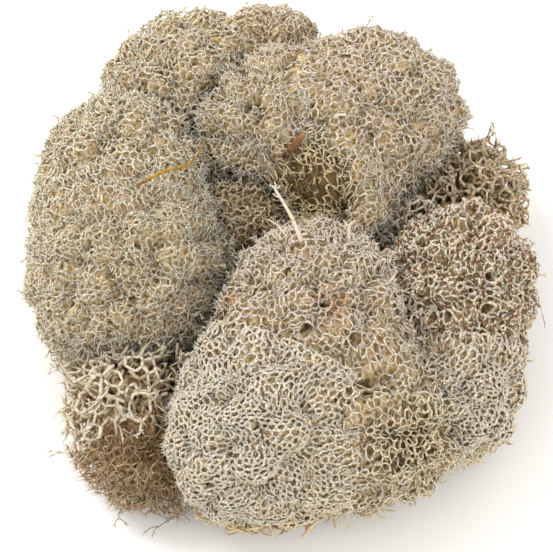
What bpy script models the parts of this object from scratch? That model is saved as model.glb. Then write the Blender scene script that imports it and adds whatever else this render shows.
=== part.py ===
"""Reindeer moss clump: rounded heads of forked lichen twigs, grown together over a mat of old brown stems.

Each head is one body: a lumpy core with twigs standing out of it, which fork in three and in three again,
so that every twig ends in nine short tips on the head's round outer surface. Neighbouring heads share the
room between them along flat borders, set by their radii, and each keeps half a gap clear of its border.
+Z is up, the clump is seen from -Y, and the origin is the middle of the flat spot that it rests on.
"""

import math
import random

import bmesh
import bpy
from mathutils import Vector

MM = 0.001
SEED = 11

# Driving dimensions in millimetres
GAP = 0.5  # between neighbouring bodies
GROUND_CLEARANCE = 1.2  # under the heads
MAT_RADIUS = 50.0
MAT_TOP = 15.0
MAT_BALL_RADIUS = 98.0  # of the ball whose top is the mat's upper side
MAT_MIDDLE = 4.0  # height of the point that its surface is drawn from
FOOT_RADIUS = 21.0
FOOT_HEIGHT = 2.4
FOOT_CORNERS = 9
FOOT_UNEVEN = 0.08  # of its radius

# Name: centre, radius, growth, and the swell that it shares with its neighbours. The front heads are low
# and near, the back ones stand higher.
HEADS = {
    "head_front_dome": ((-3.0, -43.0, 19.0), 21.0, "dense", "front"),
    "head_front_crown": ((8.0, -19.0, 27.0), 20.0, "open", "front"),
    "head_front_right": ((23.0, -40.5, 16.0), 17.0, "open", "front"),
    "head_left": ((-31.0, -5.5, 21.5), 24.0, "dense", "left"),
    "head_left_back": ((-33.5, 20.0, 25.0), 19.5, "dense", "left"),
    "head_back_centre": ((-2.5, 30.5, 29.0), 17.0, "dense", "back"),
    "head_back_right": ((22.5, 32.0, 29.5), 21.0, "dense", "back"),
    "head_right_browned": ((39.5, -8.0, 22.0), 18.5, "dense", "right"),
    "head_lower_right": ((38.0, -31.5, 13.5), 14.0, "dense", "right"),
    "head_far_left": ((-22.5, 43.0, 26.0), 18.0, "dense", "far"),
    "head_far_centre": ((0.0, 51.5, 26.0), 14.5, "dense", "far"),
    "head_small_grey": ((15.5, 8.0, 27.0), 10.5, "open", "back"),
    "head_right_back": ((43.0, 17.0, 20.0), 15.0, "open", "gap"),
    "thicket_right": ((30.5, 5.0, 18.5), 13.0, "coarse", "thicket"),
    "thicket_left": ((-30.0, -30.0, 13.5), 16.5, "coarse", "low"),
    "brown_tuft": ((-25.5, -43.5, 10.5), 13.5, "stringy", "low"),
    "hollow_moss": ((-9.0, 8.5, 17.0), 15.5, "coarse", "hollow"),
}

# A dry stalk and a bark flake that lie on the heads
STALK_ROUTE = [(-28.0, -2.5, 48.6), (-24.5, 0.5, 48.0), (-21.0, 5.0, 45.8), (-18.0, 10.0, 42.4), (-15.5, 17.0, 39.0)]
STALK_WIDTH = 1.2
FLAKE_ENDS = ((0.8, 11.6, 37.6), (5.2, 15.6, 43.0))
FLAKE_WIDTH = 3.6
FLAKE_THICKNESS = 0.7
FLAKE_BOW = 0.5

# Growth: core radius as a share of the head's, twig spacing, stem width, share of the length before the
# first fork, and tips per twig
GROWTH = {
    "dense": (0.72, 14.2, 2.3, 0.20, 9),
    "open": (0.66, 13.4, 2.0, 0.24, 9),
    "coarse": (0.46, 13.4, 2.0, 0.34, 9),
    "stringy": (0.50, 7.6, 1.3, 0.40, 3),
}
LUMP = 0.06  # of the radius, on heads
SWELL = 15.0  # how widely the heads of one swell run into each other
KNOB = 1.8  # height of the small round knobs on a head
KNOB_WIDTH = 6.5
KNOB_AREA = 95.0  # of head surface to each knob
KNOB_SUNK = 0.5  # of its height, below the head's surface
MARCH_START = 1.7  # times the radius, where the march inwards to the surface starts
MARCH_STEPS = 14
NEVER = 1e6  # a distance beyond everything
TIP_SCATTER = 0.035  # of the radius
TWIG_REACH = 0.96  # of the way to a border
TIP_REACH = 0.97
TWIG_ROOT = 0.8  # of the core's radius, where a twig starts
TWIG_LEAST = 1.18  # times the core's radius, the least a twig reaches
LOWEST_TWIG = -0.45  # the least upward part of a twig's direction
CORE_POINT_SPACING = 6.4
CORE_POINTS_LEAST = 44
MAT_POINTS = 150
MAT_FLATNESS = 0.35  # of the spread of the directions to its points
OLD_STEMS = 16  # around the rim of the mat
OLD_STEM_REACH = 55.0
OLD_STEM_ROOT = 0.7  # of the mat's radius, where an old stem starts
OLD_STEM_LEAST = 1.3  # times that, the least it reaches
OLD_STEM = (8.0, 1.3, 0.5, 3)  # its spacing, stem width, share before the fork, and tips

# Colour, roughness
TINTS = {
    "cream": ((0.62, 0.54, 0.38), 0.92),
    "pinkish": ((0.60, 0.48, 0.36), 0.92),
    "greenish": ((0.56, 0.53, 0.38), 0.92),
    "russet": ((0.50, 0.36, 0.25), 0.92),
    "old": ((0.30, 0.21, 0.12), 0.95),
    "mat": ((0.16, 0.11, 0.065), 0.97),
    "amber": ((0.50, 0.22, 0.06), 0.55),
    "bark": ((0.36, 0.17, 0.07), 0.7),
}
NODE_TINT = {
    "head_front_dome": "cream",
    "head_front_crown": "pinkish",
    "head_front_right": "cream",
    "head_left": "greenish",
    "head_left_back": "greenish",
    "head_back_centre": "cream",
    "head_back_right": "pinkish",
    "head_right_browned": "russet",
    "head_far_left": "greenish",
    "head_far_centre": "pinkish",
    "head_small_grey": "greenish",
    "head_lower_right": "cream",
    "head_right_back": "cream",
    "thicket_right": "pinkish",
    "thicket_left": "cream",
    "brown_tuft": "old",
    "hollow_moss": "old",
}


def clear_scene():
    for item in list(bpy.data.objects):
        bpy.data.objects.remove(item, do_unlink=True)


def material(tint):
    """The Principled material of a tint, made once."""
    found = bpy.data.materials.get(tint)
    if found:
        return found
    colour, roughness = TINTS[tint]
    made = bpy.data.materials.new(tint)
    made.use_nodes = True
    shader = made.node_tree.nodes["Principled BSDF"]
    shader.inputs["Base Color"].default_value = (*colour, 1.0)
    shader.inputs["Roughness"].default_value = roughness
    shader.inputs["Metallic"].default_value = 0.0
    return made


def new_object(name, points, faces, tint, collection=None):
    """An object from points in millimetres and its faces."""
    mesh = bpy.data.meshes.new(name)
    mesh.from_pydata([tuple(point * MM) for point in points], [], faces)
    mesh.materials.append(material(tint))
    made = bpy.data.objects.new(name, mesh)
    (collection or bpy.context.scene.collection).objects.link(made)
    return made


def spiral_directions(count, turn=0.0):
    """Unit vectors spread evenly over a sphere, on a golden-angle spiral."""
    golden = math.pi * (3.0 - math.sqrt(5.0))
    directions = []
    for index in range(count):
        height = 1.0 - (2.0 * index + 1.0) / count
        width = math.sqrt(1.0 - height * height)
        angle = golden * index + turn
        directions.append(Vector((width * math.cos(angle), width * math.sin(angle), height)))
    return directions


def lump(direction, phase):
    """A smooth bulge and hollow pattern over a head, from -1 to 1."""
    across = math.sin(3.1 * direction.x + phase) * math.cos(2.7 * direction.y - phase)
    along = math.sin(4.3 * direction.z + 2.0 * phase + 2.2 * direction.x)
    return 0.6 * across + 0.4 * along


def phase_of(name):
    """The turn of a head's bulge pattern, drawn from its name."""
    return random.Random(f"{SEED} {name}").uniform(0.0, 2.0 * math.pi)


def smooth_least(first, second, width):
    """The lesser of two levels, rounded off where they differ by less than a width."""
    close = max(width - abs(first - second), 0.0) / width
    return min(first, second) - close**2 * width / 4.0


class Cell:
    """The room of one ball among its neighbours: flat borders, each half a gap inside the shared one."""

    def __init__(self, centre, radius, neighbours, floor):
        self.centre = Vector(centre)
        self.radius = radius
        self.swell = []
        self.knobs = []
        self.borders = [(Vector((0, 0, -1)), self.centre.z - floor)]
        for other_centre, other_radius in neighbours:
            towards = Vector(other_centre) - self.centre
            apart = towards.length
            share = (apart**2 + radius**2 - other_radius**2) / (2.0 * apart)
            self.borders.append((towards / apart, share - GAP / 2.0))

    def reach(self, direction):
        """How far the room goes from the centre along a direction."""
        ways = [limit / normal.dot(direction) for normal, limit in self.borders if normal.dot(direction) > 1e-6]
        return min(ways) if ways else NEVER

    def level(self, point):
        """Below zero inside the swell of balls that this head belongs to."""
        level = NEVER
        for centre, radius, phase in self.swell:
            offset = point - centre
            ball = offset.length - radius * (1.0 + LUMP * lump(offset.normalized(), phase))
            level = smooth_least(level, ball, SWELL)
        return level

    def outer(self, direction):
        """The head's own surface: a march inwards to the swell's zero level, and the knob that is nearest."""
        distance = MARCH_START * self.radius
        for _ in range(MARCH_STEPS):
            distance -= self.level(self.centre + direction * distance)
        way, height = max(self.knobs, key=lambda knob: knob[0].dot(direction))
        across = way.angle(direction) * self.radius / KNOB_WIDTH
        return distance + KNOB * (height * max(1.0 - across**2, 0.0) - KNOB_SUNK)

    def pulled_in(self, point, rng):
        """The point, moved towards the centre if it is past a border."""
        offset = point - self.centre
        length = offset.length
        limit = self.reach(offset / length)
        return point if length < 0.985 * limit else self.centre + offset * (limit / length * rng.uniform(0.94, 0.98))


def core_distance(cell, direction, share):
    """The core's radius along a direction: a share of the head's, drawn out downwards to near the ground."""
    ball = share * cell.outer(direction)
    if direction.z < 0.0:
        depth = max(cell.centre.z - GROUND_CLEARANCE, ball)
        ball = 1.0 / math.sqrt((1.0 - direction.z**2) / ball**2 + direction.z**2 / depth**2)
    return min(ball, cell.reach(direction))


def wrapped(directions):
    """The faces of a closed body round spread directions, whose points may have radii of their own."""
    mesh = bmesh.new()
    for direction in directions:
        mesh.verts.new(direction)
    bmesh.ops.convex_hull(mesh, input=mesh.verts)
    mesh.verts.index_update()
    faces = [[vert.index for vert in face.verts] for face in mesh.faces]
    mesh.free()
    return faces


def side_faces(low, high):
    """The six triangles between two three-cornered rings of point numbers."""
    faces = []
    for corner in range(3):
        after = (corner + 1) % 3
        faces.append((low[corner], low[after], high[after]))
        faces.append((low[corner], high[after], high[corner]))
    return faces


def ring_round(points, base, centre, width):
    """Adds a three-cornered ring round a centre, its corners turned as the base's are."""
    middle = sum((points[number] for number in base), Vector()) / 3.0
    along = (centre - middle).normalized()
    ring = []
    for number in base:
        outward = points[number] - middle
        outward -= along * outward.dot(along)
        points.append(centre + outward.normalized() * width)
        ring.append(len(points) - 1)
    return ring


def split_in_three(points, ring, lift):
    """Adds a point in the middle of a ring, and gives the three bases round it."""
    middle = sum((points[number] for number in ring), Vector()) / 3.0
    points.append(middle + lift)
    saddle = len(points) - 1
    return [(ring[corner], ring[(corner + 1) % 3], saddle) for corner in range(3)]


def base_side(points, base):
    """The unit direction from the saddle to the outer edge of a base."""
    outer = (points[base[0]] + points[base[1]]) / 2.0
    return (outer - points[base[2]]).normalized()


def forked_twig(cell, direction, start, end, spacing, width, first_fork, tips, rng):
    """Points and faces of a twig along a direction from the centre, forked in three, or twice in three."""
    side = direction.orthogonal().normalized()
    other = direction.cross(side)
    turn = rng.uniform(0.0, 2.0 * math.pi)
    length = end - start
    points = []
    for height, wide in ((start, width * 1.15), (start + first_fork * length, width)):
        for corner in range(3):
            angle = turn + corner * 2.0 * math.pi / 3.0
            outward = side * math.cos(angle) + other * math.sin(angle)
            points.append(cell.centre + direction * height + outward * wide)
    faces = [(2, 1, 0), *side_faces((0, 1, 2), (3, 4, 5))]
    bases = split_in_three(points, (3, 4, 5), direction * width * 0.25)
    spread = spacing * rng.uniform(0.25, 0.33)
    if tips == 9:
        finer = []
        for base in bases:
            outward = base_side(points, base)
            height = start + length * rng.uniform(0.66, 0.76)
            centre = cell.centre + direction * height + outward * spread
            ring = ring_round(points, base, centre, width * 0.62)
            faces += side_faces(base, ring)
            finer += split_in_three(points, ring, (centre - cell.centre).normalized() * width * 0.15)
        bases = finer
        spread = spacing * 0.17
    for base in bases:
        outward = base_side(points, base)
        middle = sum((points[number] for number in base), Vector()) / 3.0
        aim = (middle + outward * spread * rng.uniform(0.9, 1.5) + direction * 0.3 * length - cell.centre).normalized()
        distance = min(end * rng.uniform(1.0 - TIP_SCATTER, 1.0 + TIP_SCATTER), TIP_REACH * cell.reach(aim))
        points.append(cell.centre + aim * distance)
        tip = len(points) - 1
        faces += [(base[0], base[1], tip), (base[1], base[2], tip), (base[2], base[0], tip)]
    return [cell.pulled_in(point, rng) for point in points], faces


def largest_body(mesh):
    """Leaves only the largest connected body of a mesh."""
    work = bmesh.new()
    work.from_mesh(mesh)
    bmesh.ops.triangulate(work, faces=work.faces)
    unseen = set(work.verts)
    bodies = []
    while unseen:
        found = [unseen.pop()]
        for vert in found:
            for edge in vert.link_edges:
                far = edge.other_vert(vert)
                if far in unseen:
                    unseen.remove(far)
                    found.append(far)
        bodies.append(found)
    bodies.sort(key=len)
    for body in bodies[:-1]:
        bmesh.ops.delete(work, geom=body, context="VERTS")
    work.to_mesh(mesh)
    work.free()


def joined(body, pieces):
    """Unites the body with a collection's pieces, applies it, and removes the pieces."""
    union = body.modifiers.new("union", "BOOLEAN")
    union.operation = "UNION"
    union.operand_type = "COLLECTION"
    union.collection = pieces
    union.solver = "MANIFOLD"
    graph = bpy.context.evaluated_depsgraph_get()
    mesh = bpy.data.meshes.new_from_object(body.evaluated_get(graph))
    body.modifiers.clear()
    body.data = mesh
    for piece in list(pieces.objects):
        bpy.data.objects.remove(piece, do_unlink=True)
    bpy.data.collections.remove(pieces)
    largest_body(body.data)
    return body


def make_head(name, cell, growth, tint):
    """One head: its core, and the twigs that fill the outer part of its room."""
    rng = random.Random(f"{SEED} {name} sprays")
    share, spacing, width, first_fork, tips = GROWTH[growth]
    phase = phase_of(name)
    count = max(CORE_POINTS_LEAST, int(4.0 * math.pi * (share * cell.radius) ** 2 / CORE_POINT_SPACING**2 * 1.5))
    directions = spiral_directions(count, phase)
    core_points = [cell.centre + way * core_distance(cell, way, share) for way in directions]
    core = new_object(name, core_points, wrapped(directions), tint)
    pieces = bpy.data.collections.new(name + "_twigs")
    bpy.context.scene.collection.children.link(pieces)
    for way in spiral_directions(int(4.0 * math.pi * cell.radius**2 / spacing**2), phase + 1.0):
        if way.z < LOWEST_TWIG:
            continue
        end = min(cell.outer(way), TWIG_REACH * cell.reach(way))
        inner = core_distance(cell, way, share)
        if end < TWIG_LEAST * inner:
            continue
        twig = forked_twig(cell, way, TWIG_ROOT * inner, end, spacing, width, first_fork, tips, rng)
        new_object(name + "_twig", *twig, tint, pieces)
    return joined(core, pieces)


def mat_distance(cell, direction):
    """The mat's radius along a direction: a low dome above its middle, and a shallow bowl below it."""
    height = MAT_TOP - cell.centre.z if direction.z > 0.0 else cell.centre.z - GROUND_CLEARANCE
    level = 1.0 - direction.z**2
    dome = 1.0 / math.sqrt(level / MAT_RADIUS**2 + direction.z**2 / height**2)
    return min(dome, cell.reach(direction))


def make_foot(pieces):
    """The flat spot that the clump rests on: a low block with an uneven outline, sunk into the mat."""
    foot = []
    for height, widen in ((0.0, 1.0), (FOOT_HEIGHT, 1.12)):
        for corner in range(FOOT_CORNERS):
            angle = 2.0 * math.pi * corner / FOOT_CORNERS
            wide = FOOT_RADIUS * widen * (1.0 + FOOT_UNEVEN * math.sin(2.0 * angle + 0.7))
            foot.append(Vector((wide * math.cos(angle), wide * math.sin(angle), height)))
    faces = [tuple(reversed(range(FOOT_CORNERS))), tuple(range(FOOT_CORNERS, 2 * FOOT_CORNERS))]
    for corner in range(FOOT_CORNERS):
        after = (corner + 1) % FOOT_CORNERS
        faces.append((corner, after, after + FOOT_CORNERS, corner + FOOT_CORNERS))
    new_object("foot", foot, faces, "mat", pieces)


def make_mat(cell, rng):
    """The dead brown stems under the heads: a low mat with a flat foot, and old stems round its rim."""
    directions = []
    for way in spiral_directions(MAT_POINTS):
        directions.append(Vector((way.x, way.y, way.z * MAT_FLATNESS)).normalized())
    points = [cell.centre + way * mat_distance(cell, way) for way in directions]
    mat = new_object("dead_stem_mat", points, wrapped(directions), "mat")
    pieces = bpy.data.collections.new("mat_pieces")
    bpy.context.scene.collection.children.link(pieces)
    make_foot(pieces)
    for index in range(OLD_STEMS):
        angle = 2.0 * math.pi * (index + rng.uniform(-0.3, 0.3)) / OLD_STEMS
        way = Vector((math.cos(angle), math.sin(angle), 0.05)).normalized()
        start = OLD_STEM_ROOT * mat_distance(cell, way)
        end = min(OLD_STEM_REACH, TWIG_REACH * cell.reach(way))
        if end > OLD_STEM_LEAST * start:
            twig = forked_twig(cell, way, start, end, *OLD_STEM, rng)
            new_object("old_stem", *twig, "mat", pieces)
    return joined(mat, pieces)


def make_stalk():
    """A thin dry stalk along a smooth curve through its route's points."""
    curve = bpy.data.curves.new("amber_stalk", "CURVE")
    curve.dimensions = "3D"
    curve.bevel_depth = STALK_WIDTH / 2.0 * MM
    curve.bevel_resolution = 1
    curve.use_fill_caps = True
    curve.resolution_u = 3
    line = curve.splines.new("NURBS")
    line.points.add(len(STALK_ROUTE) - 1)
    line.use_endpoint_u = True
    line.order_u = 4
    for point, place in zip(line.points, STALK_ROUTE):
        point.co = (*(value * MM for value in place), 1.0)
    curve.materials.append(material("amber"))
    stalk = bpy.data.objects.new("amber_stalk", curve)
    bpy.context.scene.collection.objects.link(stalk)


def make_flake(head_centre):
    """A thin bowed flake of bark: a lens outline between its two ends, facing away from the head under it."""
    start = Vector(FLAKE_ENDS[0])
    along = Vector(FLAKE_ENDS[1]) - start
    facing = (start + along / 2.0 - head_centre).normalized()
    facing = (facing - along.normalized() * facing.dot(along.normalized())).normalized()
    across = along.normalized().cross(facing)
    rows = 6
    points = []
    for row in range(rows + 1):
        share = row / rows
        half = FLAKE_WIDTH / 2.0 * (0.3 + 0.7 * math.sin(math.pi * share) ** 0.7)
        bow = FLAKE_BOW * math.sin(math.pi * share)
        for side in (-1.0, 1.0):
            for face in (-1.0, 1.0):
                lift = facing * (bow + face * FLAKE_THICKNESS / 2.0)
                points.append(start + along * share + across * side * half + lift)
    faces = [(0, 1, 3, 2)]
    for row in range(rows):
        low = 4 * row
        for near, far in ((0, 2), (2, 3), (3, 1), (1, 0)):
            faces.append((low + near, low + far, low + 4 + far, low + 4 + near))
    last = 4 * rows
    faces.append((last, last + 2, last + 3, last + 1))
    flake = new_object("bark_flake", points, faces, "bark")
    work = bmesh.new()
    work.from_mesh(flake.data)
    bmesh.ops.triangulate(work, faces=work.faces)
    bmesh.ops.recalc_face_normals(work, faces=work.faces)
    work.to_mesh(flake.data)
    work.free()


class MatCell(Cell):
    """The mat's room: below the borders with the heads, and above the ground."""

    def __init__(self, neighbours):
        ball = Vector((0.0, 0.0, MAT_TOP - MAT_BALL_RADIUS))
        super().__init__(ball, MAT_BALL_RADIUS, neighbours, -NEVER)
        start = Vector((0.0, 0.0, MAT_MIDDLE))
        self.borders = [(normal, limit - normal.dot(start - ball)) for normal, limit in self.borders]
        self.borders[0] = (Vector((0, 0, -1)), start.z - GROUND_CLEARANCE)
        self.centre = start


def head_cell(name):
    """The room of a head, with the balls of its swell and its knobs."""
    centre, radius, _, swell = HEADS[name]
    mat_ball = ((0.0, 0.0, MAT_TOP - MAT_BALL_RADIUS), MAT_BALL_RADIUS)
    neighbours = [entry[:2] for other, entry in HEADS.items() if other != name] + [mat_ball]
    cell = Cell(centre, radius, neighbours, GROUND_CLEARANCE)
    for other, entry in HEADS.items():
        if entry[3] == swell:
            cell.swell.append((Vector(entry[0]), entry[1], phase_of(other)))
    count = int(4.0 * math.pi * radius**2 / KNOB_AREA)
    for index, way in enumerate(spiral_directions(count, phase_of(name) + 2.0)):
        cell.knobs.append((way, 0.7 + 0.3 * math.sin(5.0 * index + radius)))
    return cell


def main():
    clear_scene()
    for name, (_, _, growth, _) in HEADS.items():
        make_head(name, head_cell(name), growth, NODE_TINT[name])
    make_mat(MatCell([entry[:2] for entry in HEADS.values()]), random.Random(SEED))
    make_stalk()
    make_flake(Vector(HEADS["head_back_centre"][0]))


main()
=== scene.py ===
"""Looks of the reindeer moss clump: every head regrown as fine nets of lichen twigs.

A head's surface is that of its swell, with knobs, small tufts and larger round holes. Nets lie at a few
depths below it, and three links meet at each of their forks. The outer net carries short tips and loose
forked sprays, and twigs rise to it from the net below. A dense old middle closes each head. Lengths are in
millimetres until a mesh is made.
"""

import math
import random

import bmesh
import bpy
import numpy as np
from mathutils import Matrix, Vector


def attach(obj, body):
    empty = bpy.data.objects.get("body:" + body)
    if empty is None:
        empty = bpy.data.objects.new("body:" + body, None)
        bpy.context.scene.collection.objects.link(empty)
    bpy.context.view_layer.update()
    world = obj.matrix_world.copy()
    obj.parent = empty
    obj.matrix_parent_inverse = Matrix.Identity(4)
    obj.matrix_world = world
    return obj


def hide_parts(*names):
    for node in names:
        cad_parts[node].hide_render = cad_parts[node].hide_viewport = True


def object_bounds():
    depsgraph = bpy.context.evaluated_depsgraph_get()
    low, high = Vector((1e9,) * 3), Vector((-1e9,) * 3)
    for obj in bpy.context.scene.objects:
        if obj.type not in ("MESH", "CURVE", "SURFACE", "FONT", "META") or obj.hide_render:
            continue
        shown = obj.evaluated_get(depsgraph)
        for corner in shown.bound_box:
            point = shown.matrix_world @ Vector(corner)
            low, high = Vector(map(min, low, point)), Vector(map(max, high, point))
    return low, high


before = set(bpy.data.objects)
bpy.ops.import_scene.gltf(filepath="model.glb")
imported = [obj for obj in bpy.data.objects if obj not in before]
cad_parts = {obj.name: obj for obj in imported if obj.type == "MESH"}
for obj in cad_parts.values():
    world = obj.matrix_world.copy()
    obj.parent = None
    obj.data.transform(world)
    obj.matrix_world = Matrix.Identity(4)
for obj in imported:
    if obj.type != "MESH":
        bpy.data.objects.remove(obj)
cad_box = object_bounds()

MM = 0.001
SEED = 11

# The heads as the solids have them: centre, radius, swell, how they grow, and their finish
HEADS = {
    "head_front_dome": ((-3.0, -43.0, 19.0), 21.0, "front", "dense", "cream"),
    "head_front_crown": ((8.0, -19.0, 27.0), 20.0, "front", "open", "pinkish"),
    "head_front_right": ((23.0, -40.5, 16.0), 17.0, "front", "open", "cream"),
    "head_left": ((-31.0, -5.5, 21.5), 24.0, "left", "airy", "greenish"),
    "head_left_back": ((-33.5, 20.0, 25.0), 19.5, "left", "far", "greenish"),
    "head_back_centre": ((-2.5, 30.5, 29.0), 17.0, "back", "airy", "cream"),
    "head_back_right": ((22.5, 32.0, 29.5), 21.0, "back", "far", "pinkish"),
    "head_right_browned": ((39.5, -8.0, 22.0), 18.5, "right", "webbed", "russet"),
    "head_lower_right": ((38.0, -31.5, 13.5), 14.0, "right", "dense", "cream"),
    "head_far_left": ((-22.5, 43.0, 26.0), 18.0, "far", "far", "greenish"),
    "head_far_centre": ((0.0, 51.5, 26.0), 14.5, "far", "far", "pinkish"),
    "head_small_grey": ((15.5, 8.0, 27.0), 10.5, "back", "airy", "greenish"),
    "head_right_back": ((43.0, 17.0, 20.0), 15.0, "gap", "coarse", "deep"),
    "thicket_right": ((30.5, 5.0, 18.5), 13.0, "thicket", "coarse", "pinkish"),
    "thicket_left": ((-30.0, -30.0, 13.5), 16.5, "low", "coarse", "cream"),
    "brown_tuft": ((-25.5, -43.5, 10.5), 13.5, "low", "stringy", "old"),
    "hollow_moss": ((-9.0, 8.5, 17.0), 15.5, "hollow", "far", "deep"),
}
MAT_BALL_RADIUS = 98.0
MAT_TOP = 15.0
MAT_RADIUS = 50.0
GROUND_CLEARANCE = 1.2

# How a kind of head grows. Hole: spacing of the holes in its outer net. Wire: radius of the net's twigs.
# Relief: how far the net goes in and out. Tuft: height of its small tufts. Gone: share of the net's links
# that are missing. Nets: spacing and depth of the nets, in hole spacings. Tips: how many to each fork, and
# their length. Core: depth of the dense middle. Funnels: head surface to each larger round hole, and the
# least and greatest radius of one. Sprays: loose forked twigs to two square centimetres, and their length.
GROWTH = {
    "dense": dict(
        hole=1.22, wire=0.335, relief=0.12, tuft=0.8, gone=0.05,
        nets=((1.0, 0.3), (1.5, 0.8)), tips=(1.2, 0.75), core=1.25,
        funnels=(150.0, 0.6, 1.5), sprays=(1.5, 2.4),
    ),
    "airy": dict(
        hole=1.55, wire=0.215, relief=0.34, tuft=1.6, gone=0.15,
        nets=((1.0, 0.3), (1.4, 0.9)), tips=(2.0, 1.45), core=2.0,
        funnels=(90.0, 0.7, 1.7), sprays=(3.5, 3.6),
    ),
    "far": dict(
        hole=1.68, wire=0.245, relief=0.34, tuft=1.3, gone=0.12,
        nets=((1.0, 0.3), (1.4, 0.9)), tips=(1.6, 1.30), core=2.0,
        funnels=(150.0, 0.7, 1.5), sprays=(1.5, 3.4),
    ),
    "open": dict(
        hole=1.52, wire=0.24, relief=0.36, tuft=1.5, gone=0.15,
        nets=((1.0, 0.3), (1.5, 1.1)), tips=(1.3, 1.1), core=2.5,
        funnels=(60.0, 0.8, 2.0), sprays=(4.5, 4.0),
    ),
    "webbed": dict(
        hole=1.65, wire=0.30, relief=0.25, tuft=1.3, gone=0.12,
        nets=((1.0, 0.3), (1.5, 1.0)), tips=(1.0, 0.60), core=2.3,
        funnels=(36.0, 0.8, 2.1), sprays=(3.5, 4.5),
    ),
    "coarse": dict(
        hole=2.8, wire=0.36, relief=0.9, tuft=1.2, gone=0.22,
        nets=((1.0, 0.3), (1.2, 1.3), (1.5, 2.4)), tips=(0.9, 2.6), core=8.0,
        funnels=(110.0, 1.8, 3.2), sprays=(2.5, 6.0),
    ),
    "stringy": dict(
        hole=1.7, wire=0.16, relief=0.7, tuft=1.6, gone=0.40,
        nets=((1.0, 0.3), (1.5, 1.5)), tips=(1.5, 2.2), core=4.0,
        funnels=(500.0, 1.0, 1.5), sprays=(7.0, 5.0),
    ),
}
SPRAY_AREA = 200.0  # square millimetres

# The surface of a head
LUMP = 0.06  # height of its broad bulges, in radii
SWELL = 15.0  # over which the balls of a swell run together
KNOB = 1.8
KNOB_WIDTH = 6.5
KNOB_AREA = 95.0  # head surface to each knob
CREASE = 1.8  # depth of the creases between knobs
TUFT_SPACING = 5.0  # between the small tufts
TUFT_UNEVEN = 0.3
PIT_DEPTH = 1.6  # of a larger round hole, in radii
MARCH_STEPS = 14
MARCH_START = 1.7  # radii out, where the march inwards begins
NO_BORDER = 3.0  # radii out, where no border is met
LEAST_REACH = 0.25  # of a head's radius
BORDER_ROUNDING = 0.22  # of a head's radius, where it dips towards a head of another swell
OVERLAP = 0.8  # how far a head's twigs may cross into its neighbour's room
KIN_OVERLAP = 1.6  # the same inside a swell
BOX_MARGIN = 2.5  # short of the solids' box, where the twigs are drawn in

# Where the nets grow
JITTER = 0.3  # of scattered directions, in spacings
NET_JITTER = 0.22
WARP = 0.42  # how far the net's holes are drawn together and apart
WARP_LENGTH = 9.0  # from one drawn-together place to the next
EDGE_WIDTH = 7.0  # of the lacy edge of a head, beside another swell
EDGE_GONE = 0.32  # more of the links are missing there
SEEN_BEHIND = 9.0  # depth below the swell down to which twigs at such a border can be seen
SEEN_BESIDE = 1.5  # the same at a border inside a swell
LOWEST = -0.50  # the least upward part of the direction of a net's fork
LOWEST_OLD = -0.95  # the same of the old stems below
OLD_ABOVE = 0.25  # how far the old stems reach up among the nets, in the same measure
OLD_STEM_SPACING = 2.2
LONGEST_LINK = 2.0  # in hole spacings
RIM = 0.80  # of a larger hole's radius, where the forks inside it stand at least
OPEN_SHARE = 0.7  # of a larger hole's radius within which its links are left out

# The twigs
CORE_POINTS = 5.0  # of a head's core, times its radius squared
CORE_ROUGH = 0.3
# The ages of the cores: their brown is partly the old middle's own colour and partly painted shade of the
# depths behind the twigs
CORE_AGES_AND_SHADE = {"dense": 0.74}
CORE_AGE_AND_SHADE = 0.80  # of the other kinds
HOLE_SHADE_AGE = 0.3  # painted shade: added to the core's age under a larger hole, darkening the hole's floor
NET_AGES_AND_SHADE = (0.12, 0.32, 0.55)  # of the outer, middle and deep nets: deeper nets are older and browner, and their darker, warmer colour is partly painted shade
NET_WIDTHS = (1.0, 1.15, 1.5)  # of their twigs, in wires
NET_FUNNELS = (1.0, 0.7, 0.0)  # share of a larger hole's size at which they leave it open
LINK_BOW = 0.3
STRUT_SHARE = 0.45
TIP_LEAN = 0.55
TIP_BEND = 0.3
TIP_POINT = 0.5  # width of a tip's end, in widths of its root
BUTTON = 1.7  # the same of a blunt tip
EDGE_TIPS = 0.8  # how much longer the tips are at the edge
RIM_CORNERS = 12
RIMMED = ("open", "webbed", "coarse")
# The three orders of a spray: branches to each twig before, their spread, and age at both ends
SPRAY_ORDERS = ((1, 0.0, (0.30, 0.16)), (2, 0.6, (0.16, 0.08)), (3, 0.7, (0.08, 0.0)))
SPRAY_TAPER = 0.75
STRAND_SHADE = 0.35
STRAND_AGES = (0.15, 0.0)

# Single twigs of the photograph: route, and radius at both ends
FEATURE_TWIGS = {
    "head_front_crown": (
        (((5.6, -13.6, 45.8), (4.0, -9.6, 47.5), (2.0, -5.6, 48.4), (0.2, -2.2, 48.9)), (0.46, 0.27)),
        (((0.2, -2.2, 48.9), (-0.3, -1.5, 49.1), (-1.0, -1.2, 49.0)), (0.25, 0.12)),
        (((0.2, -2.2, 48.9), (0.3, -1.2, 49.1), (0.1, -0.4, 49.0)), (0.25, 0.12)),
        (((0.2, -2.2, 48.9), (0.9, -1.8, 49.0), (1.2, -1.1, 48.8)), (0.23, 0.10)),
        (((1.4, -4.4, 48.6), (0.4, -4.0, 48.9), (-0.3, -3.4, 49.0)), (0.20, 0.10)),
        (((2.6, -12.4, 45.9), (0.8, -10.4, 46.9), (-1.2, -8.8, 47.0)), (0.24, 0.10)),
        (((15.4, -12.4, 45.0), (15.2, -10.6, 46.9), (14.2, -9.4, 47.6)), (0.34, 0.14)),
        (((15.2, -10.6, 46.9), (16.0, -9.8, 47.4), (16.9, -9.4, 47.3)), (0.28, 0.13)),
    ),
    "head_back_right": (
        (((12.9, 19.2, 46.0), (14.0, 19.2, 46.9), (15.4, 18.9, 47.1)), (0.42, 0.30)),
    ),
    "thicket_left": (
        (((-33.1, -32.8, 29.0), (-35.2, -35.6, 29.0), (-35.1, -38.1, 27.5), (-30.7, -40.2, 26.5)),
         (0.35, 0.30)),
    ),
}
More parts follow.
